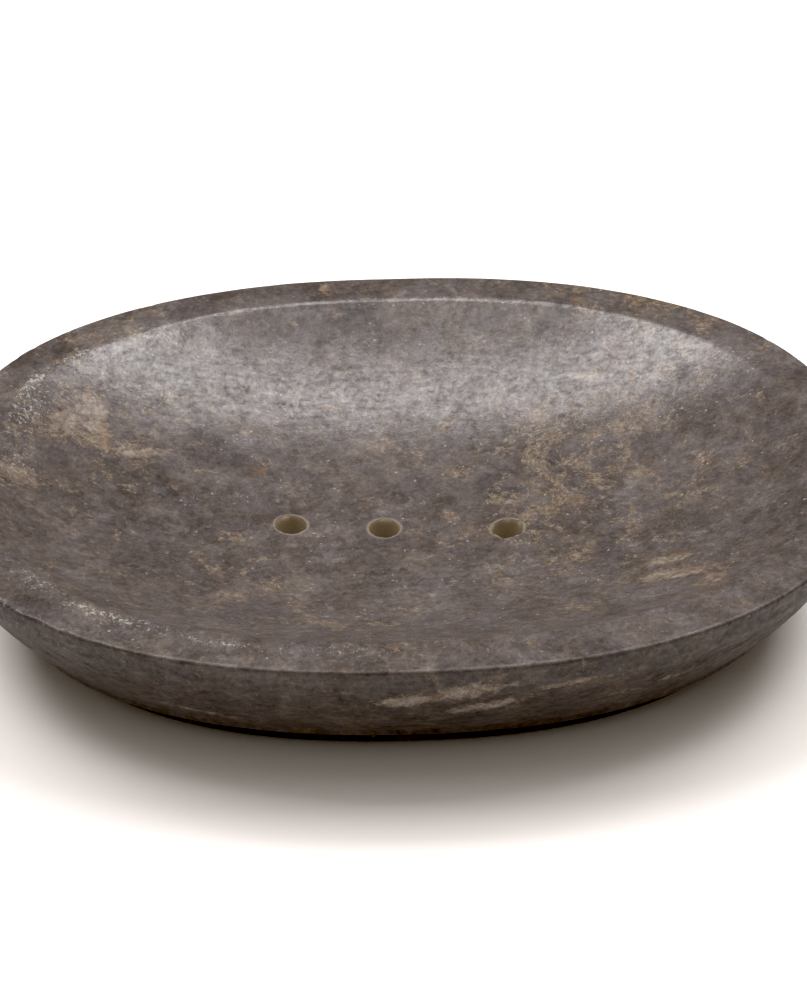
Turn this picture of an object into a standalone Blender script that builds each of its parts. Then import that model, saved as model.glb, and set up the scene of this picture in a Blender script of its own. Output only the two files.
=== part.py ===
"""Oval carved stone soap dish on a recessed foot ring, with drain holes and four non-slip foot pads.

Metres, +Z up. The origin is on the surface that the dish stands on, under the middle of the oval.
+X runs along the long axis and +Y across it. Every outline is a superellipse, and the dish is a
loft through a closed profile of such rings, which runs from the middle of the bowl over the rim
and down the outer wall to the middle of the underside.
"""

import math

import bmesh
import bpy

# Overall sizes of the stone
DISH_LENGTH = 0.145
DISH_WIDTH = 0.110
STONE_HEIGHT = 0.0252
OUTLINE_POWER = 2.3  # 2 is an ellipse, and more is a squarer oval

# Rim and bowl
RIM_WIDTH = 0.0072  # flat band from the outer edge to the bowl's lip
LIP_RADIUS = 0.0030  # rounds the corner between the rim and the bowl
EDGE_RADIUS = 0.0005
BOWL_DEPTH = 0.0140
BOWL_POWER = 2.5  # how the floor steepens into the wall

# Outer wall
EDGE_BAND_HEIGHT = 0.0036
EDGE_BAND_INSET = 0.0004
WALL_INSET = 0.0098  # of the wall's lower edge from the rim's edge
WALL_BULGE = 0.0009
TUCK_RADIUS = 0.0018  # where the wall rounds under

# Foot ring and underside
FOOT_HEIGHT = 0.0047
FOOT_INSET = 0.0050  # from the wall's lower edge
FOOT_EDGE = 0.0005
RECESS_DEPTH = 0.0042  # of the hollow inside the foot ring

# Drain holes, drilled by hand in a rough row along the long axis
HOLE_DIAMETER = 0.00476  # a 3/16 inch bit
HOLE_PLACES = ((-0.0172, 0.0), (-0.0023, -0.0008), (0.0173, -0.0022))
HOLE_SIDES = 24

# Foot pads
PAD_DIAMETER = 0.0060
PAD_MARGIN = 0.0015  # of the foot ring on each side of a pad
PAD_HEIGHT = 0.0010
PAD_EDGE = 0.0002
PAD_GAP = 0.0003  # the adhesive film between a pad and the stone
PAD_ANGLE = math.radians(45.0)  # of the outline's parameter, from the long axis
PAD_SIDES = 32

# How finely the loft is drawn
AROUND = 96
BOWL_RINGS = 11
CURVE_STEPS = 3

STONE_COLOUR = (0.115, 0.100, 0.094, 1.0)
PAD_COLOUR = (0.030, 0.030, 0.032, 1.0)

HALF_LENGTH = DISH_LENGTH / 2
HALF_WIDTH = DISH_WIDTH / 2
LIP_HALF_LENGTH = HALF_LENGTH - RIM_WIDTH
LIP_HALF_WIDTH = HALF_WIDTH - RIM_WIDTH
STONE_BOTTOM = PAD_HEIGHT + PAD_GAP
RIM_TOP = STONE_BOTTOM + STONE_HEIGHT
BOWL_BOTTOM = RIM_TOP - BOWL_DEPTH
UNDERSIDE = STONE_BOTTOM + RECESS_DEPTH
WALL_FOOT = STONE_BOTTOM + FOOT_HEIGHT
FOOT_WIDTH = PAD_DIAMETER + 2.0 * PAD_MARGIN
FOOT_OUTER = WALL_INSET + FOOT_INSET
FOOT_INNER = FOOT_OUTER + FOOT_WIDTH


def clear_scene():
    for thing in list(bpy.data.objects):
        bpy.data.objects.remove(thing, do_unlink=True)


def material(name, colour, roughness):
    made = bpy.data.materials.new(name)
    made.use_nodes = True
    shader = made.node_tree.nodes["Principled BSDF"]
    shader.inputs["Base Color"].default_value = colour
    shader.inputs["Roughness"].default_value = roughness
    shader.inputs["Metallic"].default_value = 0.0
    return made


def outline_point(half_x, half_y, angle):
    """The point of a superellipse at this parameter."""
    c, s = math.cos(angle), math.sin(angle)
    power = 2.0 / OUTLINE_POWER
    x = half_x * math.copysign(abs(c) ** power, c)
    y = half_y * math.copysign(abs(s) ** power, s)
    return x, y


def inset_ring(inset, z):
    """A ring that runs parallel to the rim's edge, this far inside it."""
    return HALF_LENGTH - inset, HALF_WIDTH - inset, z


def arc(centre_inset, centre_z, radius, start, end):
    """Rings along an arc of the profile, with angles in degrees from straight outwards."""
    rings = []
    for step in range(CURVE_STEPS + 1):
        angle = math.radians(start + (end - start) * step / CURVE_STEPS)
        inset = centre_inset - radius * math.cos(angle)
        rings.append(inset_ring(inset, centre_z + radius * math.sin(angle)))
    return rings


def bowl_height(share):
    """Height of the bowl's surface at this share of the way from its middle to its lip."""
    return BOWL_BOTTOM + BOWL_DEPTH * share**BOWL_POWER


def bowl_rings():
    """From the middle outwards, up to where the rounded lip takes over."""
    last = 1.0 - LIP_RADIUS / LIP_HALF_WIDTH
    shares = [last * step / BOWL_RINGS for step in range(1, BOWL_RINGS + 1)]
    return [(LIP_HALF_LENGTH * share, LIP_HALF_WIDTH * share, bowl_height(share)) for share in shares]


def rim_rings():
    """The rounded lip, which is tangent to the bowl's wall, then the flat rim and its outer edge."""
    steepness = BOWL_POWER * BOWL_DEPTH / ((LIP_HALF_LENGTH + LIP_HALF_WIDTH) / 2)
    turn = math.atan(steepness)
    centre = RIM_WIDTH - LIP_RADIUS * math.tan(turn / 2)
    lip = arc(centre, RIM_TOP - LIP_RADIUS, LIP_RADIUS, 90.0 + math.degrees(turn), 90.0)
    edge = arc(EDGE_RADIUS, RIM_TOP - EDGE_RADIUS, EDGE_RADIUS, 90.0, 0.0)
    return lip + edge


def wall_rings():
    """The edge band, and the wall below it down to where it tucks under."""
    top = RIM_TOP - EDGE_BAND_HEIGHT
    low = WALL_FOOT + TUCK_RADIUS
    rings = []
    steps = 2 * CURVE_STEPS
    for step in range(steps + 1):
        share = step / steps
        straight = EDGE_BAND_INSET + (WALL_INSET - EDGE_BAND_INSET) * share
        bulge = WALL_BULGE * math.sin(math.pi * share)
        rings.append(inset_ring(straight - bulge, top + (low - top) * share))
    return rings + arc(WALL_INSET + TUCK_RADIUS, low, TUCK_RADIUS, -20.0, -90.0)


def foot_rings():
    """The recessed foot ring and the hollow underside inside it."""
    return [
        inset_ring(FOOT_OUTER - FOOT_EDGE, WALL_FOOT),
        inset_ring(FOOT_OUTER, WALL_FOOT - FOOT_EDGE),
        inset_ring(FOOT_OUTER, STONE_BOTTOM + FOOT_EDGE),
        inset_ring(FOOT_OUTER + FOOT_EDGE, STONE_BOTTOM),
        inset_ring(FOOT_INNER - FOOT_EDGE, STONE_BOTTOM),
        inset_ring(FOOT_INNER, STONE_BOTTOM + FOOT_EDGE),
        inset_ring(FOOT_INNER + RECESS_DEPTH, UNDERSIDE),
    ]


def loft(mesh, rings, first_z, last_z):
    """Closes a stack of rings with a fan to a middle point at each end, faces outwards."""
    work = bmesh.new()
    loops = []
    for half_x, half_y, z in rings:
        angles = [2.0 * math.pi * step / AROUND for step in range(AROUND)]
        places = [outline_point(half_x, half_y, angle) for angle in angles]
        loops.append([work.verts.new((x, y, z)) for x, y in places])
    first = work.verts.new((0.0, 0.0, first_z))
    last = work.verts.new((0.0, 0.0, last_z))
    for step in range(AROUND):
        after = (step + 1) % AROUND
        work.faces.new((first, loops[0][step], loops[0][after]))
        for inner, outer in zip(loops, loops[1:]):
            work.faces.new((inner[step], outer[step], outer[after], inner[after]))
        work.faces.new((last, loops[-1][after], loops[-1][step]))
    bmesh.ops.recalc_face_normals(work, faces=work.faces)
    work.to_mesh(mesh)
    work.free()


def add_object(name, mesh, finish):
    made = bpy.data.objects.new(name, mesh)
    bpy.context.scene.collection.objects.link(made)
    made.data.materials.append(finish)
    mesh.shade_smooth()
    mesh.set_sharp_from_angle(angle=math.radians(35.0))
    return made


def drill_mesh():
    """One mesh with a round cutter for each drain hole, longer than the floor is thick."""
    mesh = bpy.data.meshes.new("drills")
    work = bmesh.new()
    reach = STONE_HEIGHT
    for x, y in HOLE_PLACES:
        made = bmesh.ops.create_cone(
            work, cap_ends=True, segments=HOLE_SIDES, depth=2.0 * reach,
            radius1=HOLE_DIAMETER / 2, radius2=HOLE_DIAMETER / 2)
        bmesh.ops.translate(work, verts=made["verts"], vec=(x, y, BOWL_BOTTOM))
    work.to_mesh(mesh)
    work.free()
    return mesh


def make_dish(finish):
    mesh = bpy.data.meshes.new("stone_dish")
    rings = bowl_rings() + rim_rings() + wall_rings() + foot_rings()
    loft(mesh, rings, BOWL_BOTTOM, UNDERSIDE)
    dish = add_object("stone_dish", mesh, finish)
    drills = bpy.data.objects.new("drills", drill_mesh())
    bpy.context.scene.collection.objects.link(drills)
    drills.hide_render = True
    drills.display_type = "WIRE"
    cut = dish.modifiers.new("drain_holes", "BOOLEAN")
    cut.operation = "DIFFERENCE"
    cut.solver = "EXACT"
    cut.object = drills
    return dish


def pad_mesh():
    """A flat disc with a small chamfer round both faces."""
    mesh = bpy.data.meshes.new("foot_pad")
    work = bmesh.new()
    bmesh.ops.create_cone(
        work, cap_ends=True, segments=PAD_SIDES, depth=PAD_HEIGHT,
        radius1=PAD_DIAMETER / 2, radius2=PAD_DIAMETER / 2)
    rims = [edge for edge in work.edges if abs(edge.verts[0].co.z - edge.verts[1].co.z) < PAD_EDGE / 2]
    bmesh.ops.bevel(work, geom=rims, offset=PAD_EDGE, segments=1, affect="EDGES")
    work.to_mesh(mesh)
    work.free()
    return mesh


def make_pads(finish):
    """Four pads on the middle line of the foot ring, one in each quarter."""
    middle = FOOT_OUTER + FOOT_WIDTH / 2
    x, y = outline_point(HALF_LENGTH - middle, HALF_WIDTH - middle, PAD_ANGLE)
    places = {
        "foot_pad_front_left": (-x, -y),
        "foot_pad_front_right": (x, -y),
        "foot_pad_back_left": (-x, y),
        "foot_pad_back_right": (x, y),
    }
    for name, place in places.items():
        pad = add_object(name, pad_mesh(), finish)
        pad.location = (*place, PAD_HEIGHT / 2)


def main():
    clear_scene()
    make_dish(material("dark_marble", STONE_COLOUR, 0.35))
    make_pads(material("pad_rubber", PAD_COLOUR, 0.75))


main()
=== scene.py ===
"""Looks of the oval marble soap dish: fine surfaces, marble, rubber, floor, light and camera.

Metres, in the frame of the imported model. The stone and its pads are rebuilt finely over their plain
CAD solids. The lists of holes and of patches are in millimetres.
"""

import math

import bpy
import numpy as np
from mathutils import Matrix, Vector


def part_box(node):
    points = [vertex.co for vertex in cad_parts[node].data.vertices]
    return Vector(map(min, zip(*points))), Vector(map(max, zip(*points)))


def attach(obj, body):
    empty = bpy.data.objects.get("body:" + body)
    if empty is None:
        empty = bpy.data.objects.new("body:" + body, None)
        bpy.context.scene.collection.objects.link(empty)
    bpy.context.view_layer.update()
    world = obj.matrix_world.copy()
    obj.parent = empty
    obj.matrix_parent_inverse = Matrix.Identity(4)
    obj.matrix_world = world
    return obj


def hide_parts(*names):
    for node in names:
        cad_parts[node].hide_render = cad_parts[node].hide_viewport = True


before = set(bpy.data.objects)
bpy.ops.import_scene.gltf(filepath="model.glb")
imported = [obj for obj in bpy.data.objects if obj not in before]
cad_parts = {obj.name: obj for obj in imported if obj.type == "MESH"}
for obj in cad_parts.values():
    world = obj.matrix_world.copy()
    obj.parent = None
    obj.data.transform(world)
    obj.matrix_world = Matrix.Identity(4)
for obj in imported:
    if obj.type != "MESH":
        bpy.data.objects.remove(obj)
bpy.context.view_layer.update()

MM = 0.001
STONE_LOW, STONE_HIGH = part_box("stone_dish")

# The dish's design, as the CAD has it
OUTLINE_POWER = 2.3
HALF_LENGTH = STONE_HIGH[0]
HALF_WIDTH = STONE_HIGH[1]
RIM_TOP = STONE_HIGH[2]
STONE_BOTTOM = STONE_LOW[2]
RIM_WIDTH = 7.2 * MM
LIP_RADIUS = 3.0 * MM
EDGE_RADIUS = 0.5 * MM
BOWL_DEPTH = 14.0 * MM
BOWL_POWER = 2.5
EDGE_BAND_HEIGHT = 3.6 * MM
EDGE_BAND_INSET = 0.4 * MM
WALL_INSET = 9.8 * MM
WALL_BULGE = 0.9 * MM
TUCK_RADIUS = 1.8 * MM
FOOT_HEIGHT = 4.7 * MM
FOOT_INSET = 5.0 * MM
FOOT_WIDTH = 9.0 * MM
FOOT_EDGE = 0.5 * MM
RECESS_DEPTH = 4.2 * MM
HOLE_RADIUS = 2.38 * MM
# Each is x, y (mm) and how badly the mouth is chipped
HOLES = ((-17.2, 0.0, 0.6), (-2.3, -0.8, 0.5), (17.3, -2.2, 1.3))

LIP_HALF_LENGTH = HALF_LENGTH - RIM_WIDTH
LIP_HALF_WIDTH = HALF_WIDTH - RIM_WIDTH
BOWL_BOTTOM = RIM_TOP - BOWL_DEPTH
UNDERSIDE = STONE_BOTTOM + RECESS_DEPTH
WALL_FOOT = STONE_BOTTOM + FOOT_HEIGHT

AROUND = 640  # points round each ring of the fine surface
BOWL_STEPS = 48  # rings from the middle of the bowl to its lip
DRILL_SIDES = 112
PAD_SIDES = 96
PAD_SOFTNESS = 0.22 * MM

# Measured in mm from a hole's middle
MOUTH_REACH = 3.3
FAR_FROM_HOLES = 9.0

# Linear red, green, blue and alpha
SEEPING_RUST = (0.140, 0.088, 0.052, 1.0)
RUST_STAIN = (0.165, 0.102, 0.058, 1.0)
HAIRLINE_WHITE = (0.26, 0.235, 0.21, 1.0)
# Also paints glints, as the pale dots
FLECK_AND_GLINT_WHITE = (0.34, 0.325, 0.315, 1.0)
# Also paints a highlight along the back of the lip
BRUISE_AND_GLINT_WHITE = (0.38, 0.362, 0.345, 1.0)
MOUTH_RING = (0.250, 0.222, 0.185, 1.0)
RAW_BORE = (0.360, 0.295, 0.200, 1.0)
# Painted shade: darkens and warms the outer wall, foot and underside
PAINTED_WALL_SHADE = (0.50, 0.455, 0.41, 1.0)
FLOOR_COLOUR = (0.92, 0.905, 0.885, 1.0)
WORLD_COLOUR = (1.0, 0.82, 0.58, 1.0)
WORLD_STRENGTH = 0.14
LIGHT_COLOUR = (1.0, 0.965, 0.97)

BLACK_LEVEL = (0.011, 0.012, 0.013)
WHITE_LEVEL = (0.84, 0.84, 0.84)


# ---------------------------------------------------------------- noise


def lattice(cells):
    """A fixed number from 0 to 1 for each whole-number point."""
    x, y, z = (cells[:, axis].astype(np.uint64) for axis in range(3))
    mixed = x * np.uint64(73856093) ^ y * np.uint64(19349663) ^ z * np.uint64(83492791)
    mixed = (mixed ^ (mixed >> np.uint64(13))) * np.uint64(1274126177)
    mixed = mixed ^ (mixed >> np.uint64(16))
    return (mixed & np.uint64(0xFFFFFF)).astype(float) / 0xFFFFFF


def noise(points, size, seed):
    """Smooth noise from -1 to 1, with features of this size in metres."""
    places = points / size + 1000.0 + 31.7 * seed
    cells = np.floor(places).astype(np.int64)
    part = places - cells
    part = part * part * (3.0 - 2.0 * part)
    total = np.zeros(len(points))
    for corner in np.ndindex(2, 2, 2):
        weight = np.prod(np.where(corner, part, 1.0 - part), axis=1)
        total += weight * lattice(cells + corner)
    return 2.0 * total - 1.0


def layered(points, size, seed, layers=3):
    """Noise with finer, weaker layers on top."""
    total = np.zeros(len(points))
    for layer in range(layers):
        total += noise(points, size / 2**layer, seed + layer) / 2**layer
    return total


# ---------------------------------------------------------------- the stone's shape


def outline(half_x, half_y, angles):
    """Points of the rounded oval with these half sizes."""
    power = 2.0 / OUTLINE_POWER
    c, s = np.cos(angles), np.sin(angles)
    x = half_x * np.sign(c) * np.abs(c) ** power
    y = half_y * np.sign(s) * np.abs(s) ** power
    return np.stack([x, y], axis=1)


def inset_ring(inset, z):
    """Half length, half width and height of a ring this far inside the rim's outline."""
    return HALF_LENGTH - inset, HALF_WIDTH - inset, z


def arc(centre_inset, centre_z, radius, start, end, steps):
    """Rings along an arc of the profile, with angles in degrees from straight outwards."""
    angles = np.radians(np.linspace(start, end, steps + 1))
    return [inset_ring(centre_inset - radius * math.cos(a), centre_z + radius * math.sin(a)) for a in angles]


def between(first, last, steps):
    """Rings at even steps between two (inset, z) places, leaving out both."""
    found = []
    for step in range(1, steps):
        share = step / steps
        inset = first[0] + (last[0] - first[0]) * share
        found.append(inset_ring(inset, first[1] + (last[1] - first[1]) * share))
    return found


def bowl_height(share):
    """Height of the bowl at this share of the way from its middle to its lip."""
    return BOWL_BOTTOM + BOWL_DEPTH * share**BOWL_POWER


def bowl_rings():
    last = 1.0 - LIP_RADIUS * 0.45 / LIP_HALF_WIDTH
    shares = np.linspace(0.0, last, BOWL_STEPS + 1)[1:]
    return [(LIP_HALF_LENGTH * share, LIP_HALF_WIDTH * share, bowl_height(share)) for share in shares]


def rim_rings():
    steepness = BOWL_POWER * BOWL_DEPTH / ((LIP_HALF_LENGTH + LIP_HALF_WIDTH) / 2)
    turn = math.atan(steepness)
    centre = RIM_WIDTH - LIP_RADIUS * math.tan(turn / 2)
    lip = arc(centre, RIM_TOP - LIP_RADIUS, LIP_RADIUS, 90.0 + math.degrees(turn), 90.0, 6)
    middle = (1.8 * MM, RIM_TOP)
    flat = between((centre, RIM_TOP), middle, 6)
    outer = [inset_ring(*middle)] + between(middle, (EDGE_RADIUS, RIM_TOP), 4)
    edge = arc(EDGE_RADIUS, RIM_TOP - EDGE_RADIUS, EDGE_RADIUS, 90.0, 0.0, 4)
    return lip + flat + outer + edge


def wall_rings():
    top = RIM_TOP - EDGE_BAND_HEIGHT
    low = WALL_FOOT + TUCK_RADIUS
    band = between((0.0, RIM_TOP - EDGE_RADIUS), (EDGE_BAND_INSET, top), 6)
    wall = []
    for share in np.linspace(0.0, 1.0, 23):
        straight = EDGE_BAND_INSET + (WALL_INSET - EDGE_BAND_INSET) * share
        wall.append(inset_ring(straight - WALL_BULGE * math.sin(math.pi * share), top + (low - top) * share))
    return band + wall + arc(WALL_INSET + TUCK_RADIUS, low, TUCK_RADIUS, -20.0, -90.0, 5)


def foot_rings():
    outer = WALL_INSET + FOOT_INSET
    inner = outer + FOOT_WIDTH
    rings = between((WALL_INSET + TUCK_RADIUS, WALL_FOOT), (outer, WALL_FOOT), 3)
    rings += arc(outer - FOOT_EDGE, WALL_FOOT - FOOT_EDGE, -FOOT_EDGE, -90.0, 0.0, 3)
    rings += between((outer, WALL_FOOT - FOOT_EDGE), (outer, STONE_BOTTOM + FOOT_EDGE), 5)
    rings += arc(outer + FOOT_EDGE, STONE_BOTTOM + FOOT_EDGE, FOOT_EDGE, 0.0, -90.0, 3)
    rings += between((outer + FOOT_EDGE, STONE_BOTTOM), (inner - FOOT_EDGE, STONE_BOTTOM), 6)
    rings += arc(inner - FOOT_EDGE, STONE_BOTTOM + FOOT_EDGE, FOOT_EDGE, -90.0, -135.0, 2)
    rings += between((inner, STONE_BOTTOM + FOOT_EDGE), (inner + RECESS_DEPTH, UNDERSIDE), 4)
    rings.append(inset_ring(inner + RECESS_DEPTH, UNDERSIDE))
    last_x, last_y, _ = rings[-1]
    rings += [(last_x * share, last_y * share, UNDERSIDE) for share in np.linspace(0.96, 0.04, 18)]
    return rings


def loft(rings):
    """(vertices, faces) of the closed surface through these rings, facing outwards."""
    angles = np.linspace(0.0, 2.0 * math.pi, AROUND, endpoint=False)
    loops = []
    for half_x, half_y, z in rings:
        flat = outline(half_x, half_y, angles)
        loops.append(np.column_stack([flat, np.full(AROUND, z)]))
    vertices = np.vstack([*loops, [[0.0, 0.0, rings[0][2]]], [[0.0, 0.0, rings[-1][2]]]])
    here = np.arange(AROUND)
    after = (here + 1) % AROUND
    quads = []
    for ring in range(len(rings) - 1):
        inner, outer = ring * AROUND, (ring + 1) * AROUND
        quads.append(np.column_stack([inner + here, outer + here, outer + after, inner + after]))
    first, last = len(vertices) - 2, len(vertices) - 1
    low = (len(rings) - 1) * AROUND
    caps = [(first, int(a), int(b)) for a, b in zip(here, after)]
    caps += [(last, int(low + b), int(low + a)) for a, b in zip(here, after)]
    return vertices, np.vstack(quads).tolist() + caps


def make_mesh(name, vertices, faces):
    mesh = bpy.data.meshes.new(name)
    mesh.from_pydata(np.asarray(vertices).tolist(), [], faces)
    mesh.update()
    return mesh


def places_of(mesh):
    found = np.empty(len(mesh.vertices) * 3, np.float32)
    mesh.vertices.foreach_get("co", found)
    return found.reshape(-1, 3).astype(float)


def normals_of(mesh):
    found = np.empty(len(mesh.vertices) * 3, np.float32)
    mesh.vertex_normals.foreach_get("vector", found)
    return found.reshape(-1, 3).astype(float)


def set_places(mesh, points):
    mesh.vertices.foreach_set("co", points.astype(np.float32).ravel())
    mesh.update()


def hand_made(mesh):
    """Lets the turned shape waver as a hand-finished one does, flat only where it stands."""
    points = places_of(mesh)
    angle = np.arctan2(points[:, 1] / HALF_WIDTH, points[:, 0] / HALF_LENGTH)
    reach = np.hypot(points[:, 0] / HALF_LENGTH, points[:, 1] / HALF_WIDTH)
    ring = np.column_stack([np.cos(angle), np.sin(angle), np.zeros(len(angle))])
    sway = 0.16 * MM * noise(ring, 0.45, 3) + 0.07 * MM * noise(ring, 0.14, 5)
    inward = np.column_stack([np.cos(angle), np.sin(angle)])
    points[:, :2] += inward * (sway * np.clip(reach, 0.0, 1.0) ** 2 - 0.12 * MM * (reach > 0.9))[:, None]
    stands = points[:, 2] < STONE_BOTTOM + 0.1 * MM
    swell = 0.05 * MM * noise(points, 11.0 * MM, 11) + 0.022 * MM * noise(points, 4.0 * MM, 12)
    swell += 0.008 * MM * noise(points, 1.6 * MM, 13) - 0.03 * MM
    points += normals_of(mesh) * np.where(stands, 0.0, swell)[:, None]
    set_places(mesh, points)


def chip_edge(mesh, seed, count, half_x, half_y, z, widest, deepest, inwards, span=(0.0, 360.0)):
    """Knocks small chips out of the ring at this height."""
    dice = np.random.default_rng(seed)
    points = places_of(mesh)
    near = np.where(np.abs(points[:, 2] - z) < widest)[0]
    here = points[near]
    rough = layered(here, 0.5 * MM, seed, 2)
    for _ in range(count):
        angle = math.radians(dice.uniform(*span))
        middle = np.append(outline(half_x, half_y, np.array([angle]))[0], z)
        width = widest * dice.uniform(0.25, 1.0) ** 1.6
        depth = deepest * dice.uniform(0.3, 1.0) * (width / widest) ** 0.6
        along = np.array([-math.sin(angle) * half_x, math.cos(angle) * half_y, 0.0])
        along /= np.linalg.norm(along)
        offset = here - middle
        run = offset @ along
        across = np.linalg.norm(offset - np.outer(run, along), axis=1)
        bite = 1.0 - (run / width) ** 2 - (across / (0.6 * width)) ** 2
        bite = np.clip(bite + 0.45 * rough, 0.0, 1.0) * (bite > -0.4)
        out = middle / np.linalg.norm(middle[:2]) * inwards
        push = np.array([out[0], out[1], -0.8])
        here += np.outer(bite * depth, push / np.linalg.norm(push))
    points[near] = here
    set_places(mesh, points)


def drill(x, y, wear, seed):
    """A cutter for one drain hole: an uneven bore, with a chipped mouth at both ends."""
    angles = np.linspace(0.0, 2.0 * math.pi, DRILL_SIDES, endpoint=False)
    middle = np.array([x, y]) * MM
    along = abs(middle[0] / LIP_HALF_LENGTH) ** OUTLINE_POWER
    across = abs(middle[1] / LIP_HALF_WIDTH) ** OUTLINE_POWER
    mouth = bowl_height((along + across) ** (1.0 / OUTLINE_POWER))
    circle = np.column_stack([np.cos(angles), np.sin(angles), np.zeros(DRILL_SIDES)])
    wobble = 0.05 * MM * noise(circle, 1.1, seed)
    broken = np.clip(layered(circle, 0.55, seed + 7, 3) + 0.15, 0.0, 1.2) * wear
    # Height, how far the bore flares there, and the share of its chipping
    levels = [
        (UNDERSIDE - 4.0 * MM, 0.5 * MM, 0.4),
        (UNDERSIDE - 0.15 * MM, 0.35 * MM, 0.4),
        (UNDERSIDE + 0.5 * MM, 0.0, 0.0),
        (mouth - 4.0 * MM, 0.0, 0.0),
        (mouth - 2.2 * MM, 0.0, 0.0),
        (mouth - 1.1 * MM, 0.0, 0.02),
        (mouth - 0.6 * MM, 0.01 * MM, 0.16),
        (mouth - 0.3 * MM, 0.04 * MM, 0.42),
        (mouth - 0.1 * MM, 0.09 * MM, 0.75),
        (mouth + 0.25 * MM, 0.18 * MM, 1.0),
        (mouth + 3.0 * MM, 0.5 * MM, 1.0),
    ]
    loops = []
    for z, flare, chipped in levels:
        radius = HOLE_RADIUS + wobble + flare + 0.62 * MM * broken * chipped
        flat = middle + circle[:, :2] * radius[:, None]
        loops.append(np.column_stack([flat, np.full(DRILL_SIDES, z)]))
    vertices = np.vstack(loops)
    here = np.arange(DRILL_SIDES)
    after = (here + 1) % DRILL_SIDES
    faces = []
    for level in range(len(levels) - 1):
        low, high = level * DRILL_SIDES, (level + 1) * DRILL_SIDES
        faces += np.column_stack([low + here, low + after, high + after, high + here]).tolist()
    faces.append(list(range(DRILL_SIDES - 1, -1, -1)))
    faces.append(list(range((len(levels) - 1) * DRILL_SIDES, len(levels) * DRILL_SIDES)))
    return make_mesh(f"drill_{seed}", vertices, faces)


def cut_holes(stone):
    scene = bpy.context.scene
    cutters = []
    for seed, (x, y, wear) in enumerate(HOLES):
        cutter = bpy.data.objects.new(f"drill_{seed}", drill(x, y, wear, seed))
        scene.collection.objects.link(cutter)
        cut = stone.modifiers.new(f"hole_{seed}", "BOOLEAN")
        cut.operation = "DIFFERENCE"
        cut.solver = "EXACT"
        cut.object = cutter
        cutters.append(cutter)
    bpy.context.view_layer.update()
    drilled = bpy.data.meshes.new_from_object(stone.evaluated_get(bpy.context.evaluated_depsgraph_get()))
    stone.modifiers.clear()
    plain = stone.data
    stone.data = drilled
    bpy.data.meshes.remove(plain)
    for cutter in cutters:
        mesh = cutter.data
        bpy.data.objects.remove(cutter)
        bpy.data.meshes.remove(mesh)


# ---------------------------------------------------------------- where the marble changes colour

# Each is x, y, half length, half width (mm), turn in degrees and strength, seen from above.
TAN_PATCHES = (
    (-53, 18, 7.0, 3.8, 38, 1.05), (-49.5, 19, 6.0, 2.4, 95, 1.2), (-42, 14.5, 5.0, 1.7, 8, 1.1),
    (-61, 1, 4.5, 2.0, 0, 1.2), (-22, 13, 4.5, 2.0, 75, 0.6), (-26, 23, 3.5, 1.8, 25, 0.7),
    (-24, -20, 4.5, 3.0, 40, 0.75), (-27, -27, 3.0, 1.8, 10, 0.6), (-33, -12, 3.0, 1.0, 60, 0.6),
    (-16, -25, 4.5, 1.4, 110, 0.9), (-10, -33, 5.0, 1.3, 130, 0.85), (-6, -42, 3.0, 1.3, 80, 0.8),
    (-2, -37, 2.4, 1.2, 130, 0.7), (3, 5, 2.5, 1.4, 20, 0.6), (28, 25, 7.0, 3.5, 20, 0.62),
    (40, 21, 6.0, 3.5, 160, 0.68), (26, 12, 6.5, 4.5, 60, 0.6), (22, 3, 6.0, 3.0, 70, 0.66),
    (45, 2, 6.0, 1.8, 0, 0.6), (28, -13, 6.5, 1.7, 65, 0.8), (41, -19, 3.6, 1.4, 0, 1.3),
    (41, -25, 7.5, 2.2, 165, 1.2), (46, -31, 5.0, 2.4, 70, 1.1), (28, -32, 3.4, 2.2, 60, 0.85),
    (51, -36, 3.0, 1.6, 40, 0.8), (-12, 51.5, 1.6, 2.4, 0, 0.95), (42, 46, 5.0, 2.2, 160, 0.8),
    (32, 46, 1.3, 6.0, 0, 0.8), (28, 38, 2.6, 1.6, 60, 0.6), (36, 35, 3.4, 1.4, 70, 0.7),
    (-47, 43, 3.5, 2.0, 30, 0.6), (-57, -41, 2.2, 1.4, 40, 0.8), (-21, -52, 1.2, 1.8, 0, 0.6),
    (52, -42, 3.0, 1.0, 150, 0.8), (6, -4, 4.0, 1.6, 70, 0.55),
)
# As above, where the stone is stained orange
RUST_PATCHES = (
    (-47.8, 16.5, 1.4, 3.6, 12, 1.0), (-22.5, 13.5, 2.6, 1.3, 20, 1.0), (31.5, 46, 1.6, 1.8, 0, 0.9),
    (41, 45, 1.6, 2.0, 0, 0.9), (-41, 44.5, 2.2, 1.1, 25, 0.8), (-12, 51, 1.2, 1.4, 0, 0.8),
    (36, 36, 1.5, 2.2, 30, 0.7), (-61, -1.5, 2.6, 0.8, 0, 0.8), (28.5, 24, 2.0, 1.2, 60, 0.6),
)
# As above, where only a fine network shows
NET_PATCHES = (
    (30, 22, 16, 8, 10, 1.0), (27, 6, 13, 9, 70, 1.0), (45, 2, 9, 4, 0, 0.8), (9, -3, 6, 5, 60, 0.6),
    (-50, 20, 14, 10, 40, 0.6), (-24, -16, 9, 9, 0, 0.5), (-46, 40, 12, 4, 30, 0.4),
    (44, 46, 14, 5, 150, 0.8), (-10, -34, 10, 6, 120, 0.4), (36, -8, 10, 8, 30, 0.4),
)
# As above, where the ground is paler
PALE_PATCHES = (
    (-10, -8.5, 5.0, 1.0, 18, 1.0), (-13, -3.5, 3.5, 1.6, 160, 0.8), (-4, 1.6, 4.5, 3.0, 20, 0.7),
    (-14, -16, 2.0, 1.0, 60, 0.7), (-12, 12, 12, 12, 0, 0.25), (6, -20, 22, 14, 0, 0.25),
    (48, 10, 10, 8, 0, 0.3), (58, -12, 2.5, 4.0, 20, 0.6),
)
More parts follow.
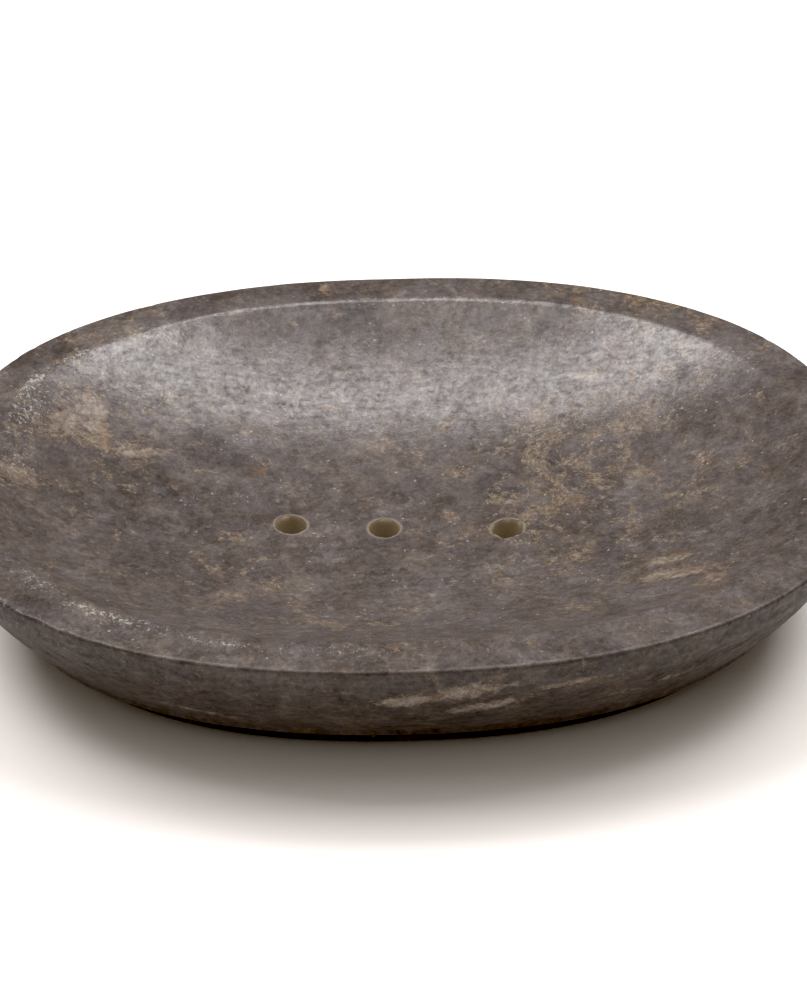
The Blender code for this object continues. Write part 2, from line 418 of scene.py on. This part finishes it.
# As above, where the ground is darker
DARK_PATCHES = (
    (-31, 21, 3.0, 3.0, 0, 0.9), (-24, -5, 7.0, 5.0, 120, 0.8), (-42, -4, 22, 20, 0, 0.5),
    (38, -23, 2.6, 1.8, 0, 0.9), (40, -12, 9.0, 4.0, 30, 0.5), (10, 14, 12, 8, 0, 0.3),
    (-20, 2, 4, 6, 0, 0.5),
)
# Bruised stretches of the lip and of the rim's edge, and a painted highlight along the back of the lip:
# middle and spread in degrees round the oval, inset and width (mm), strength
BRUISES_AND_LIP_GLINT = (
    (153, 8, 7.6, 1.7, 1.0), (142, 6, 7.6, 1.3, 0.9), (131, 6, 7.2, 0.8, 0.75), (160, 13, 10.0, 4.0, 0.72),
    (176, 9, 12.0, 5.0, 0.6), (232, 12, 6.6, 1.6, 0.85), (247, 9, 5.4, 1.3, 0.7), (218, 10, 7.4, 3.0, 0.62),
    # The entry at 90 degrees, inset 7.0 mm, is a painted highlight along the back of the lip, not a bruise
    (262, 9, 5.0, 2.2, 0.5), (222, 9, 0.6, 0.6, 0.7), (90, 40, 7.0, 0.4, 0.4),
)
# Patches on the outer wall: degrees round the oval, height, half length, half height (mm), slant, strength
WALL_PATCHES = (
    (277.5, 22.0, 4.2, 1.8, 12, 1.5), (270.5, 20.0, 3.6, 1.4, 18, 1.5), (280, 17.2, 4.0, 1.1, 20, 1.4),
    (288, 21.5, 4.0, 0.8, 10, 1.1), (300, 16.0, 7.0, 0.9, 12, 0.8), (243, 12.0, 6.0, 0.9, -8, 0.8),
    (213, 24.5, 1.8, 1.4, 0, 0.8), (120, 15.0, 9.0, 2.4, 20, 0.7), (60, 20.0, 7.0, 2.0, -25, 0.7),
    (20, 12.0, 8.0, 2.0, 30, 0.6), (175, 18.0, 7.0, 1.8, -20, 0.7),
)


def spots(across, along, patches):
    """The strongest of these soft-edged patches at each point, from 0 to 1, in millimetres."""
    strongest = np.zeros(len(across))
    for x, y, length, width, turn, strength in patches:
        c, s = math.cos(math.radians(turn)), math.sin(math.radians(turn))
        dx, dy = across - x, along - y
        away = np.hypot((dx * c + dy * s) / length, (dy * c - dx * s) / width)
        strongest = np.maximum(strongest, strength * np.clip(1.3 - 0.65 * away, 0.0, 1.0))
    return strongest


def add_field(mesh, name, values):
    field = mesh.attributes.new(name, "FLOAT", "POINT")
    field.data.foreach_set("value", values.astype(np.float32))


def paint_fields(mesh):
    """Stores, at each vertex, how strongly each feature of the stone shows there, and how strongly the
    painted shade of the outer wall and the painted highlight along the back of the lip show.
    """
    points = places_of(mesh)
    x, y, z = (points / MM).T
    up = normals_of(mesh)[:, 2]
    half_x, half_y, top = HALF_LENGTH / MM, HALF_WIDTH / MM, RIM_TOP / MM
    angle = np.degrees(np.arctan2(y / half_y, x / half_x)) % 360.0
    reach = (np.abs(x / half_x) ** OUTLINE_POWER + np.abs(y / half_y) ** OUTLINE_POWER) ** (1 / OUTLINE_POWER)
    inset = (1.0 - reach) * np.hypot(x, y) / np.maximum(reach, 0.05)
    open_top = (up > 0.3) & (z > 12.0)
    outer = (up < 0.6) & (reach > 0.75)
    turned = (angle[:, None] - np.array([patch[0] for patch in WALL_PATCHES]) + 180.0) % 360.0 - 180.0
    wall = np.zeros(len(x))
    for number, (_, height, length, rise, slant, strength) in enumerate(WALL_PATCHES):
        run = np.radians(turned[:, number]) * np.hypot(x, y)
        wall = np.maximum(wall, spots(run, z - height, ((0.0, 0.0, length, rise, slant, strength),)))
    tan = np.where(open_top, spots(x, y, TAN_PATCHES), 0.0)
    add_field(mesh, "tan", np.where(outer, np.maximum(wall, tan), tan))
    add_field(mesh, "rust", np.where(open_top, spots(x, y, RUST_PATCHES), 0.0))
    add_field(mesh, "net", np.where(open_top, spots(x, y, NET_PATCHES), 0.3 * outer))
    add_field(mesh, "pale", np.where(open_top, spots(x, y, PALE_PATCHES), 0.0))
    add_field(mesh, "dark", np.where(open_top, spots(x, y, DARK_PATCHES), 0.0))
    bruise_and_glint = np.zeros(len(x))
    for middle, spread, depth, width, strength in BRUISES_AND_LIP_GLINT:
        off = (angle - middle + 180.0) % 360.0 - 180.0
        here = np.exp(-((off / spread) ** 2) - ((inset - depth) / width) ** 2)
        bruise_and_glint = np.maximum(bruise_and_glint, strength * here)
    add_field(mesh, "bruise_and_glint", np.where(z > top - 6.0, bruise_and_glint, 0.0))
    nearest = np.min([np.hypot(x - hx, y - hy) for hx, hy, _ in HOLES], axis=0)
    above = z > UNDERSIDE / MM + 0.3
    add_field(mesh, "from_hole", np.where(above, nearest, FAR_FROM_HOLES))
    add_field(mesh, "bore", ((nearest < MOUTH_REACH) & (np.abs(up) < 0.62) & above).astype(float))
    add_field(mesh, "edge", np.clip(1.3 - 1.6 * np.abs(inset - 0.2), 0.0, 1.0) * (z > top - 0.2))
    # Painted shade for the outer wall, foot and underside: three quarters of it from just under the rim's
    # edge, the rest growing from 2 mm to 8 mm below the top; the same field also dulls the polish there
    below = 0.75 * np.clip((top - 0.02 - z) / 0.2, 0.0, 1.0) + 0.25 * np.clip((top - 2.0 - z) / 6.0, 0.0, 1.0)
    add_field(mesh, "outer", below * (((up < 0.25) | (reach > 0.95)) & (nearest > MOUTH_REACH)))


def make_stone():
    vertices, faces = loft(bowl_rings() + rim_rings() + wall_rings() + foot_rings())
    mesh = make_mesh("marble_dish", vertices, faces)
    hand_made(mesh)
    chip_edge(mesh, 21, 70, HALF_LENGTH, HALF_WIDTH, RIM_TOP, 1.5 * MM, 0.20 * MM, -1.0)
    chip_edge(mesh, 22, 10, HALF_LENGTH, HALF_WIDTH, RIM_TOP, 2.6 * MM, 0.42 * MM, -1.0, (205.0, 245.0))
    chip_edge(mesh, 23, 26, LIP_HALF_LENGTH, LIP_HALF_WIDTH, RIM_TOP, 1.6 * MM, 0.12 * MM, 1.0,
              (122.0, 172.0))
    foot_inset = WALL_INSET + FOOT_INSET
    chip_edge(mesh, 24, 30, HALF_LENGTH - foot_inset, HALF_WIDTH - foot_inset, STONE_BOTTOM + 0.3 * MM,
              1.4 * MM, 0.12 * MM, -1.0)
    stone = bpy.data.objects.new("marble_dish", mesh)
    bpy.context.scene.collection.objects.link(stone)
    cut_holes(stone)
    stone.data.shade_smooth()
    stone.data.set_sharp_from_angle(angle=math.radians(42.0))
    paint_fields(stone.data)
    return stone


# ---------------------------------------------------------------- the pads' shape


def make_pad(node):
    """A die-cut rubber disc with softened edges and a faint dish in its face."""
    low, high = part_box(node)
    middle = (Vector(low) + Vector(high)) / 2
    radius, height = (high[0] - low[0]) / 2, high[2] - low[2]
    soft = PAD_SOFTNESS
    shares = (0.0, 0.3, 0.55, 0.75, 0.9)
    profile = [(share * (radius - soft), 0.02 * MM * (1.0 - share**2)) for share in shares]
    corner = np.radians(np.linspace(-90.0, 0.0, 6))
    for rise, turns in ((soft, corner), (height - soft, -corner[::-1])):
        profile += [(radius - soft + soft * math.cos(a), rise + soft * math.sin(a)) for a in turns]
    profile += [(share * (radius - soft), height) for share in (0.9, 0.6, 0.3, 0.0)]
    angles = np.linspace(0.0, 2.0 * math.pi, PAD_SIDES, endpoint=False)
    vertices = [(middle[0], middle[1], low[2] + profile[0][1])]
    for out, z in profile[1:-1]:
        circle = [(out * math.cos(a), out * math.sin(a)) for a in angles]
        vertices += [(middle[0] + x, middle[1] + y, low[2] + z) for x, y in circle]
    vertices.append((middle[0], middle[1], low[2] + profile[-1][1]))
    faces = []
    for side in range(PAD_SIDES):
        after = (side + 1) % PAD_SIDES
        faces.append((0, 1 + after, 1 + side))
        for ring in range(len(profile) - 3):
            a, b = 1 + ring * PAD_SIDES, 1 + (ring + 1) * PAD_SIDES
            faces.append((a + side, a + after, b + after, b + side))
        top = 1 + (len(profile) - 3) * PAD_SIDES
        faces.append((top + side, top + after, len(vertices) - 1))
    mesh = make_mesh(node.replace("foot_", "rubber_"), vertices, faces)
    mesh.shade_smooth()
    pad = bpy.data.objects.new(mesh.name, mesh)
    bpy.context.scene.collection.objects.link(pad)
    return pad


# ---------------------------------------------------------------- materials


class Tree:
    """A short way to write shader nodes. A socket or a plain value may stand for any input."""

    def __init__(self, name):
        self.material = bpy.data.materials.new(name)
        self.material.use_nodes = True
        self.nodes = self.material.node_tree.nodes
        self.links = self.material.node_tree.links
        self.shader = self.nodes["Principled BSDF"]
        coordinates = self.nodes.new("ShaderNodeTexCoord")
        self.millimetres = self.vector("SCALE", coordinates.outputs["Object"], scale=1.0 / MM)

    def put(self, socket, value):
        if isinstance(value, bpy.types.NodeSocket):
            self.links.new(value, socket)
        else:
            socket.default_value = value

    def vector(self, operation, first, second=None, scale=None):
        node = self.nodes.new("ShaderNodeVectorMath")
        node.operation = operation
        self.put(node.inputs[0], first)
        if second is not None:
            self.put(node.inputs[1], second)
        if scale is not None:
            self.put(node.inputs["Scale"], scale)
        return node.outputs["Vector"]

    def maths(self, operation, first, second=0.0, clamp=False):
        node = self.nodes.new("ShaderNodeMath")
        node.operation = operation
        node.use_clamp = clamp
        self.put(node.inputs[0], first)
        self.put(node.inputs[1], second)
        return node.outputs[0]

    def swing(self, value, amount):
        """How far a value from 0 to 1 lies from its middle, times this amount."""
        return self.maths("MULTIPLY", self.maths("SUBTRACT", value, 0.5), amount)

    def field(self, name):
        """The strength that paint_fields stored under this name."""
        node = self.nodes.new("ShaderNodeAttribute")
        node.attribute_name = name
        return node.outputs["Fac"]

    def noise(self, size, detail=4.0, roughness=0.55, distortion=0.0, vector=None):
        """Noise from 0 to 1 with features of about this many millimetres."""
        node = self.nodes.new("ShaderNodeTexNoise")
        self.put(node.inputs["Vector"], self.millimetres if vector is None else vector)
        node.inputs["Scale"].default_value = 1.0 / size
        node.inputs["Detail"].default_value = detail
        node.inputs["Roughness"].default_value = roughness
        node.inputs["Distortion"].default_value = distortion
        return node.outputs["Fac"]

    def cells(self, size, feature="F1", vector=None):
        node = self.nodes.new("ShaderNodeTexVoronoi")
        node.feature = feature
        self.put(node.inputs["Vector"], self.millimetres if vector is None else vector)
        node.inputs["Scale"].default_value = 1.0 / size
        return node

    def range(self, value, low, high, to_low=0.0, to_high=1.0, smooth=True):
        node = self.nodes.new("ShaderNodeMapRange")
        node.interpolation_type = "SMOOTHSTEP" if smooth else "LINEAR"
        self.put(node.inputs["Value"], value)
        for socket, number in zip(("From Min", "From Max", "To Min", "To Max"), (low, high, to_low, to_high)):
            self.put(node.inputs[socket], number)
        return node.outputs["Result"]

    def blend(self, share, first, second, mode="MIX"):
        node = self.nodes.new("ShaderNodeMix")
        node.data_type = "RGBA"
        node.blend_type = mode
        self.put(node.inputs["Factor"], share)
        sockets = [socket for socket in node.inputs if socket.type == "RGBA"]
        self.put(sockets[0], first)
        self.put(sockets[1], second)
        return next(socket for socket in node.outputs if socket.type == "RGBA")

    def ramp(self, value, stops):
        node = self.nodes.new("ShaderNodeValToRGB")
        self.put(node.inputs["Fac"], value)
        points = node.color_ramp.elements
        while len(points) < len(stops):
            points.new(0.5)
        for point, (place, colour) in zip(points, stops):
            point.position = place
            point.color = (*colour, 1.0)
        return node.outputs["Color"]

    def shifted(self, offset):
        """The coordinates moved aside, so that two noises of one size don't agree."""
        return self.vector("ADD", self.millimetres, (offset, 2.0 * offset, -offset))

    def warped(self, size, amount):
        """The coordinates pushed about by noise."""
        node = self.nodes.new("ShaderNodeTexNoise")
        self.put(node.inputs["Vector"], self.millimetres)
        node.inputs["Scale"].default_value = 1.0 / size
        node.inputs["Detail"].default_value = 3.0
        push = self.vector("SUBTRACT", node.outputs["Color"], (0.5, 0.5, 0.5))
        return self.vector("ADD", self.millimetres, self.vector("SCALE", push, scale=amount))

    def bump(self, height, depth, under=None):
        """Bump from a height of 0 to 1, this many millimetres deep."""
        node = self.nodes.new("ShaderNodeBump")
        node.inputs["Strength"].default_value = 1.0
        node.inputs["Distance"].default_value = depth * MM
        self.put(node.inputs["Height"], height)
        if under is not None:
            self.links.new(under, node.inputs["Normal"])
        return node.outputs["Normal"]


def marble():
    tree = Tree("dark_marble")
    m = tree.maths

    # The ground: cool grey clouded with brown, in small fragments, mottled down to the grain
    cloud = tree.noise(11.0, 2.0, 0.6, 0.4)
    mottle = tree.noise(3.2, 3.0, 0.85, 0.35, tree.shifted(40.0))
    grain = tree.noise(0.75, 3.0, 0.9, 0.0, tree.shifted(80.0))
    combed = tree.vector("MULTIPLY", tree.warped(16.0, 5.0), (0.12, 0.9, 0.9))
    strokes = tree.noise(1.0, 4.0, 0.75, 0.0, combed)
    shards = tree.cells(3.4, "F1", tree.warped(2.4, 4.5)).outputs["Color"]
    crystals = tree.cells(1.1, "F1", tree.warped(0.9, 1.3)).outputs["Color"]
    tone = 0.5
    for part, weight in ((cloud, 0.50), (mottle, 0.52), (grain, 0.66), (strokes, 0.22), (shards, 0.14),
                         (crystals, 0.17)):
        tone = m("ADD", tree.swing(part, weight), tone)
    tone = m("ADD", tone, m("MULTIPLY", tree.field("pale"), 0.07))
    tone = m("SUBTRACT", tone, m("MULTIPLY", tree.field("dark"), 0.06))
    cool = tree.ramp(tone, (
        (0.16, (0.028, 0.025, 0.025)), (0.36, (0.057, 0.0505, 0.0505)), (0.50, (0.080, 0.071, 0.0705)),
        (0.66, (0.112, 0.101, 0.101)), (0.90, (0.195, 0.179, 0.179))))
    warm = tree.ramp(tone, (
        (0.16, (0.030, 0.025, 0.022)), (0.36, (0.061, 0.0505, 0.0455)), (0.50, (0.086, 0.072, 0.0655)),
        (0.66, (0.124, 0.107, 0.098)), (0.90, (0.205, 0.180, 0.166))))
    hue = tree.range(tree.noise(6.0, 4.0, 0.65, 0.6, tree.shifted(120.0)), 0.38, 0.62)
    colour = tree.blend(hue, cool, warm)

    # Rust that seeps through the ground in faint drifts
    seep = tree.range(tree.noise(4.0, 6.0, 0.72, 1.0, tree.shifted(140.0)), 0.58, 0.70)
    colour = tree.blend(m("MULTIPLY", seep, 0.22), colour, SEEPING_RUST)

    # Tan patches: rusty at the edge, beige inside, torn to shreds by noise
    ragged = tree.noise(2.3, 6.0, 0.78, 0.5, tree.shifted(160.0))
    reach = m("ADD", tree.field("tan"), tree.swing(ragged, 4.6))
    tan = tree.range(reach, 0.80, 0.92)
    crumb = tree.noise(0.6, 4.0, 0.85, 0.0, tree.shifted(165.0))
    tan_colour = tree.ramp(m("ADD", tree.range(reach, 0.80, 1.8, smooth=False), m("SUBTRACT", crumb, 0.5)), (
        (0.0, (0.120, 0.078, 0.047)), (0.2, (0.138, 0.104, 0.075)), (0.5, (0.172, 0.143, 0.116)),
        (0.9, (0.270, 0.240, 0.208))))
    cover = m("ADD", m("MULTIPLY", tree.range(crumb, 0.36, 0.56), 0.42), 0.5)
    colour = tree.blend(m("MULTIPLY", tan, cover), colour, tan_colour)
    stained = m("ADD", tree.field("rust"), tree.swing(ragged, 2.4))
    colour = tree.blend(m("MULTIPLY", tree.range(stained, 0.6, 1.0), 0.45), colour, RUST_STAIN)

    # Fine wisps of rust and beige that run between the fragments of the ground
    strength = tree.swing(tree.noise(4.6, 5.0, 0.72, 0.6, tree.shifted(180.0)), 3.6)
    strength = m("ADD", strength, m("MULTIPLY", tree.field("net"), 0.50))
    breadth = m("MULTIPLY", m("MAXIMUM", strength, 0.0), 0.050)
    net = 0.0
    for size, offset in ((5.6, 170.0), (2.4, 190.0)):
        ridge = m("ABSOLUTE", m("SUBTRACT", tree.noise(size, 5.0, 0.72, 0.9, tree.shifted(offset)), 0.5))
        thin = tree.range(m("SUBTRACT", ridge, breadth), 0.0, 0.010, 1.0, 0.0)
        net = m("MAXIMUM", net, thin)
    net = m("MULTIPLY", net, tree.range(strength, 0.34, 0.50))
    net_colour = tree.ramp(grain, (
        (0.38, (0.120, 0.074, 0.040)), (0.50, (0.160, 0.124, 0.088)), (0.62, (0.270, 0.236, 0.196))))
    colour = tree.blend(m("MULTIPLY", net, 0.62), colour, net_colour)

    # Pale hairlines, and white flecks: curls and dots where hard grains were plucked, the dots also painted
    # glints of polished crystals
    hair = tree.cells(15.0, "DISTANCE_TO_EDGE", tree.warped(7.0, 8.0)).outputs["Distance"]
    hairline = m("MULTIPLY", tree.range(hair, 0.0, 0.007, 1.0, 0.0), tree.range(mottle, 0.50, 0.62))
    colour = tree.blend(m("MULTIPLY", hairline, 0.40), colour, HAIRLINE_WHITE)
    cluster = tree.noise(7.0, 4.0, 0.75, 0.0, tree.shifted(230.0))
    lively = m("ADD", cluster, m("MULTIPLY", tree.field("pale"), 0.12))
    curl = m("ABSOLUTE", m("SUBTRACT", tree.noise(2.6, 3.0, 0.6, 1.6, tree.shifted(240.0)), 0.5))
    curls = m("MULTIPLY", tree.range(curl, 0.002, 0.010, 1.0, 0.0), tree.range(crumb, 0.48, 0.58))
    curls = m("MULTIPLY", curls, tree.range(lively, 0.54, 0.64))
    # The dots are pale grains and painted glints, in clusters
    cell = tree.cells(1.0, "F1", tree.warped(0.5, 0.7))
    grain_and_glint_dots = tree.range(cell.outputs["Distance"], 0.12, 0.26, 1.0, 0.0)
    chance = m("ADD", cell.outputs["Color"], tree.swing(lively, 2.2))
    flecks_and_glints = m("MAXIMUM", m("MULTIPLY", curls, 0.75), m("MULTIPLY", grain_and_glint_dots, tree.range(chance, 0.86, 0.96)))
    colour = tree.blend(m("MULTIPLY", flecks_and_glints, 0.62), colour, FLECK_AND_GLINT_WHITE)

    # Bruised, whitened stone along the lip, the edge and the holes' mouths, in tiny crumbs; along the back of
    # the lip the same crumbs paint a highlight
    crumbs = tree.noise(0.62, 4.0, 0.85, 0.0, tree.shifted(260.0))
    white = tree.range(m("ADD", m("MULTIPLY", tree.field("bruise_and_glint"), 0.22), crumbs), 0.66, 0.74)
    colour = tree.blend(m("MULTIPLY", white, 0.75), colour, BRUISE_AND_GLINT_WHITE)
    ring = tree.range(m("ADD", tree.field("from_hole"), m("MULTIPLY", grain, 0.8)), 3.1, 3.5, 1.0, 0.0)
    colour = tree.blend(m("MULTIPLY", ring, 0.55), colour, MOUTH_RING)

    # Raw, yellowish stone inside the bores, and painted shade on the duller outer wall, foot and underside:
    # darker and browner from the rim's edge downwards
    colour = tree.blend(m("MULTIPLY", tree.field("bore"), 0.85), colour, RAW_BORE)
    shade = m("MULTIPLY", tree.field("outer"), m("SUBTRACT", 1.0, m("MULTIPLY", tan, 0.85)))
    colour = tree.blend(shade, colour, PAINTED_WALL_SHADE, "MULTIPLY")
    tree.links.new(colour, tree.shader.inputs["Base Color"])

    # Polish: satin, duller on the soft tan stone, the bruises and the painted lip highlight, bores, the edge,
    # and below the rim
    polish = tree.noise(1.1, 5.0, 0.8, 0.0, tree.shifted(300.0))
    gloss = m("ADD", tree.swing(polish, 1.5), tree.swing(mottle, 0.8))
    gloss = m("ADD", m("ADD", gloss, tree.swing(strokes, 0.6)), 0.5)
    rubbed = m("MAXIMUM", m("MAXIMUM", tree.field("bore"), tree.field("edge")), tree.field("outer"))
    gloss = m("MULTIPLY", gloss, m("SUBTRACT", 1.0, m("MULTIPLY", rubbed, 0.72)), clamp=True)
    tree.links.new(gloss, tree.shader.inputs["Specular IOR Level"])
    dull = m("ADD", m("MULTIPLY", tan, 0.10), m("MULTIPLY", white, 0.22))
    dull = m("ADD", dull, m("MULTIPLY", rubbed, 0.34))
    rough = m("SUBTRACT", 0.26, tree.swing(polish, 0.30))
    rough = m("SUBTRACT", rough, tree.swing(strokes, 0.3))
    tree.links.new(m("ADD", rough, dull, clamp=True), tree.shader.inputs["Roughness"])

    # Relief: grain left by the abrasive, pits, and fine strokes along the dish
    pits = tree.range(tree.cells(1.2, "F1", tree.shifted(330.0)).outputs["Distance"], 0.0, 0.25)
    pitted = m("MAXIMUM", pits, tree.range(tree.noise(5.0, 2.0, 0.5, 0.0, tree.shifted(350.0)), 0.52, 0.44))
    normal = tree.bump(tree.noise(1.5, 5.0, 0.8, 0.0, tree.shifted(370.0)), 0.045)
    normal = tree.bump(strokes, 0.015, normal)
    normal = tree.bump(pitted, 0.02, normal)
    normal = tree.bump(m("SUBTRACT", 1.0, white), 0.05, normal)
    tree.links.new(normal, tree.shader.inputs["Normal"])
    tree.shader.inputs["IOR"].default_value = 1.55
    return tree.material


def rubber():
    tree = Tree("pad_rubber")
    tone = tree.noise(0.7, 4.0, 0.6)
    colour = tree.ramp(tone, ((0.3, (0.018, 0.018, 0.019)), (0.7, (0.040, 0.039, 0.040))))
    tree.links.new(colour, tree.shader.inputs["Base Color"])
    rough = tree.maths("ADD", tree.maths("MULTIPLY", tone, 0.25), 0.55)
    tree.links.new(rough, tree.shader.inputs["Roughness"])
    tree.links.new(tree.bump(tree.noise(0.25, 3.0, 0.6), 0.015), tree.shader.inputs["Normal"])
    return tree.material


# ---------------------------------------------------------------- floor, light and camera


def make_floor():
    """The pale floor of the picture, which is no part of the object."""
    half = 4.0
    corners = [(-half, -half, 0), (half, -half, 0), (half, half, 0), (-half, half, 0)]
    mesh = make_mesh("floor", corners, [(0, 1, 2, 3)])
    floor = bpy.data.objects.new("floor", mesh)
    bpy.context.scene.collection.objects.link(floor)
    finish = bpy.data.materials.new("pale_floor")
    finish.use_nodes = True
    shader = finish.node_tree.nodes["Principled BSDF"]
    shader.inputs["Base Color"].default_value = FLOOR_COLOUR
    shader.inputs["Roughness"].default_value = 0.8
    shader.inputs["Specular IOR Level"].default_value = 0.1
    mesh.materials.append(finish)


def add_softbox(name, place, width, depth, power):
    """A level rectangle of even light that faces down."""
    light = bpy.data.lights.new(name, "AREA")
    light.shape = "RECTANGLE"
    light.size = width
    light.size_y = depth
    light.energy = power
    light.color = LIGHT_COLOUR
    lamp = bpy.data.objects.new(name, light)
    lamp.location = place
    bpy.context.scene.collection.objects.link(lamp)


def make_lights():
    world = bpy.data.worlds.new("studio")
    world.use_nodes = True
    world.node_tree.nodes["Background"].inputs["Color"].default_value = WORLD_COLOUR
    world.node_tree.nodes["Background"].inputs["Strength"].default_value = WORLD_STRENGTH
    bpy.context.scene.world = world
    add_softbox("back_strip", (0.0, 0.25, 0.80), 0.72, 0.30, 3.3)
    add_softbox("left_softbox", (-0.40, 0.08, 0.80), 0.30, 0.40, 3.7)
    add_softbox("right_softbox", (0.39, 0.08, 0.80), 0.28, 0.40, 3.4)
    add_softbox("front_fill", (0.0, -0.66, 0.80), 0.96, 0.52, 1.5)
    add_softbox("top_fill", (0.0, -0.24, 0.80), 0.80, 0.26, 1.15)


def make_camera():
    """Looks down on the dish from the front, as the object's picture does."""
    elevation, roll, turn = math.radians(35.0), math.radians(-1.02), math.radians(-0.39)
    distance, lens = 381.5 * MM, 90.0
    target = Vector((0.84 * MM, -13.1 * MM, RIM_TOP))
    forward = Vector((0.0, math.cos(elevation), -math.sin(elevation)))
    level_right = Vector((1.0, 0.0, 0.0))
    level_up = level_right.cross(forward)
    right = level_right * math.cos(roll) + level_up * math.sin(roll)
    up = level_up * math.cos(roll) - level_right * math.sin(roll)
    place = Matrix((
        (right.x, up.x, -forward.x, 0.0),
        (right.y, up.y, -forward.y, 0.0),
        (right.z, up.z, -forward.z, 0.0),
        (0.0, 0.0, 0.0, 1.0)))
    place.translation = target - forward * distance
    camera = bpy.data.objects.new("camera", bpy.data.cameras.new("camera"))
    bpy.context.scene.collection.objects.link(camera)
    camera.matrix_world = Matrix.Rotation(turn, 4, "Z") @ place
    camera.data.lens = lens
    camera.data.sensor_width = 36.0
    camera.data.clip_start = 0.01
    bpy.context.scene.camera = camera


def set_levels():
    """Black and white levels, for the strong contrast of a product photo."""
    view = bpy.context.scene.view_settings
    view.view_transform = "Standard"
    view.use_curve_mapping = True
    view.curve_mapping.black_level = BLACK_LEVEL
    view.curve_mapping.white_level = WHITE_LEVEL
    view.curve_mapping.update()


make_camera()
stone = make_stone()
stone.data.materials.clear()
stone.data.materials.append(marble())
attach(stone, "root")
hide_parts("stone_dish")

pad_finish = rubber()
for node in sorted(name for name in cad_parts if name.startswith("foot_pad_")):
    pad = make_pad(node)
    pad.data.materials.append(pad_finish)
    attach(pad, "root")
    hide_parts(node)

make_floor()
make_lights()
set_levels()
